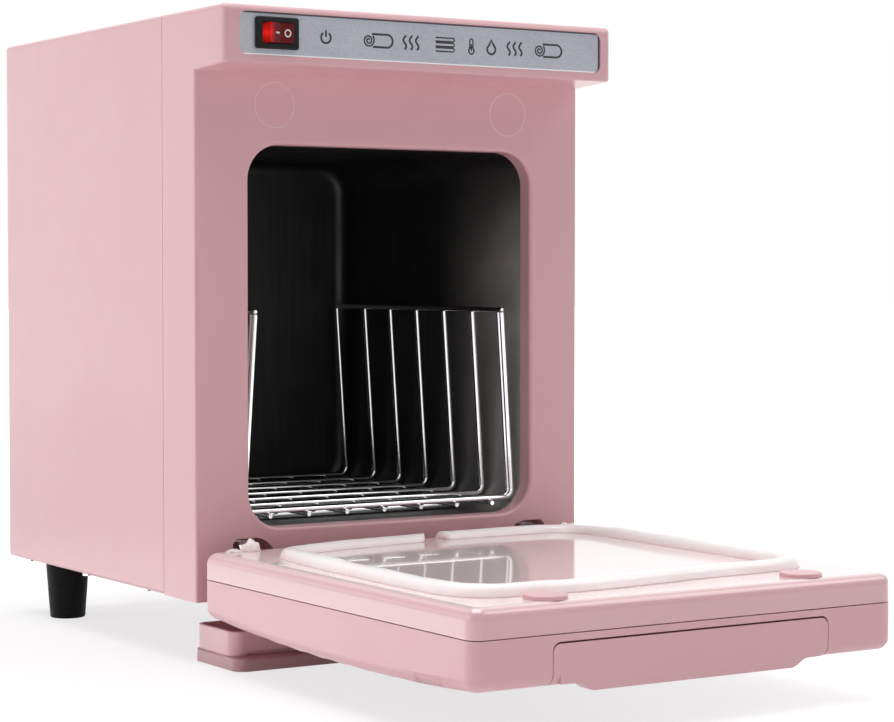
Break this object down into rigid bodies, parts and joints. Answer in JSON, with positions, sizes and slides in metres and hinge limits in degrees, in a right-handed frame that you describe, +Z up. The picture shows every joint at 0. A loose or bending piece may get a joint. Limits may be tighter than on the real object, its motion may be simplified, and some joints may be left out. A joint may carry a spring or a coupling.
{
  "type": "hot towel cabinet",
  "caption": "Small electric hot-towel cabinet: insulated box with a heated liner and wire rack, drop-down sealed door, rocker switch under a hood, and a drip tray on a front stand.",
  "frame": {"origin": "on the floor, below the middle of the cabinet's front face", "axes": "+X to the right seen from the front, +Y from the front face to the back, +Z up"},
  "size_m": [0.2456, 0.5625, 0.3465],
  "materials": {
    "pink_paint": "satin powder coat",
    "pink_plastic": "fine satin moulding",
    "pink_gloss": "mirror-smooth gloss",
    "dark_aluminium": "dark anodised",
    "bare_aluminium": "mill",
    "plated_steel": "zinc plated",
    "chrome_wire": "polished",
    "label_metal": "brushed",
    "black_plastic": "satin",
    "red_lens": "translucent gloss",
    "lamp_glass": "clear",
    "brass": "bright",
    "magnet": "sintered",
    "silicone": "translucent satin",
    "glass_wool": "fibrous",
    "ceramic": "matt",
    "black_rubber": "matt",
    "wire_insulation": "satin"
  },
  "bodies": {
    "cabinet": {"front_frame": "pink_plastic", "outer_shell": "pink_paint", "back_cover": "pink_paint", "back_cover_screws": "plated_steel", "bottom_plate": "pink_paint", "bottom_plate_screws": "plated_steel", "inner_liner": "dark_aluminium", "liner_screws": "plated_steel", "heater_element": "plated_steel", "heater_pan": "bare_aluminium", "heater_nuts": "plated_steel", "insulation_sleeve": "glass_wool", "insulation_slab": "glass_wool", "thermostat": "ceramic", "thermal_fuse": "bare_aluminium", "control_label": "label_metal", "switch_housing": "black_plastic", "switch_lamp": "lamp_glass", "switch_terminals": "brass", "frame_magnet_covers": "pink_plastic", "frame_magnets": "magnet", "hinge_brackets": "plated_steel", "hinge_bracket_screws": "plated_steel", "hinge_pins": "plated_steel", "front_stand": "pink_plastic", "stand_screws": "plated_steel", "rear_feet": "black_rubber", "foot_screws": "plated_steel", "foot_nuts": "plated_steel", "cord_bush": "black_plastic", "power_cord": "black_rubber", "plug_body": "black_rubber", "plug_blades": "brass", "cord_tie": "black_plastic", "terminal_block": "ceramic", "wiring": "wire_insulation"},
    "door": {"door_outer_shell": "pink_plastic", "door_handle": "pink_plastic", "door_inner_cover": "pink_gloss", "door_screws": "plated_steel", "door_seal": "silicone", "door_magnets": "magnet", "door_magnet_caps": "pink_plastic", "hinge_buffers": "silicone", "door_insulation": "glass_wool", "hinge_leaves": "plated_steel", "hinge_leaf_screws": "plated_steel"},
    "rocker": {"switch_rocker": "red_lens"},
    "rack": {"wire_rack": "chrome_wire"},
    "tray": {"drip_tray": "pink_plastic"}
  },
  "joints": [
    {"name": "door_hinge", "type": "hinge", "parent": "cabinet", "child": "door", "pos_m": [0, -0.0115, 0.0549], "axis": [1, 0, 0], "range_deg": [-90, 0]},
    {"name": "switch_rocker_tilt", "type": "hinge", "parent": "cabinet", "child": "rocker", "pos_m": [-0.0915, -0.0311, 0.3323], "axis": [0, 0, 1], "range_deg": [-22, 0]},
    {"name": "drip_tray_slide", "type": "slide", "parent": "cabinet", "child": "tray", "axis": [0, -1, 0], "range_m": [0, 0.045]},
    {"name": "wire_rack_slide", "type": "slide", "parent": "cabinet", "child": "rack", "axis": [0, -1, 0], "range_m": [0, 0.01]}
  ]
}
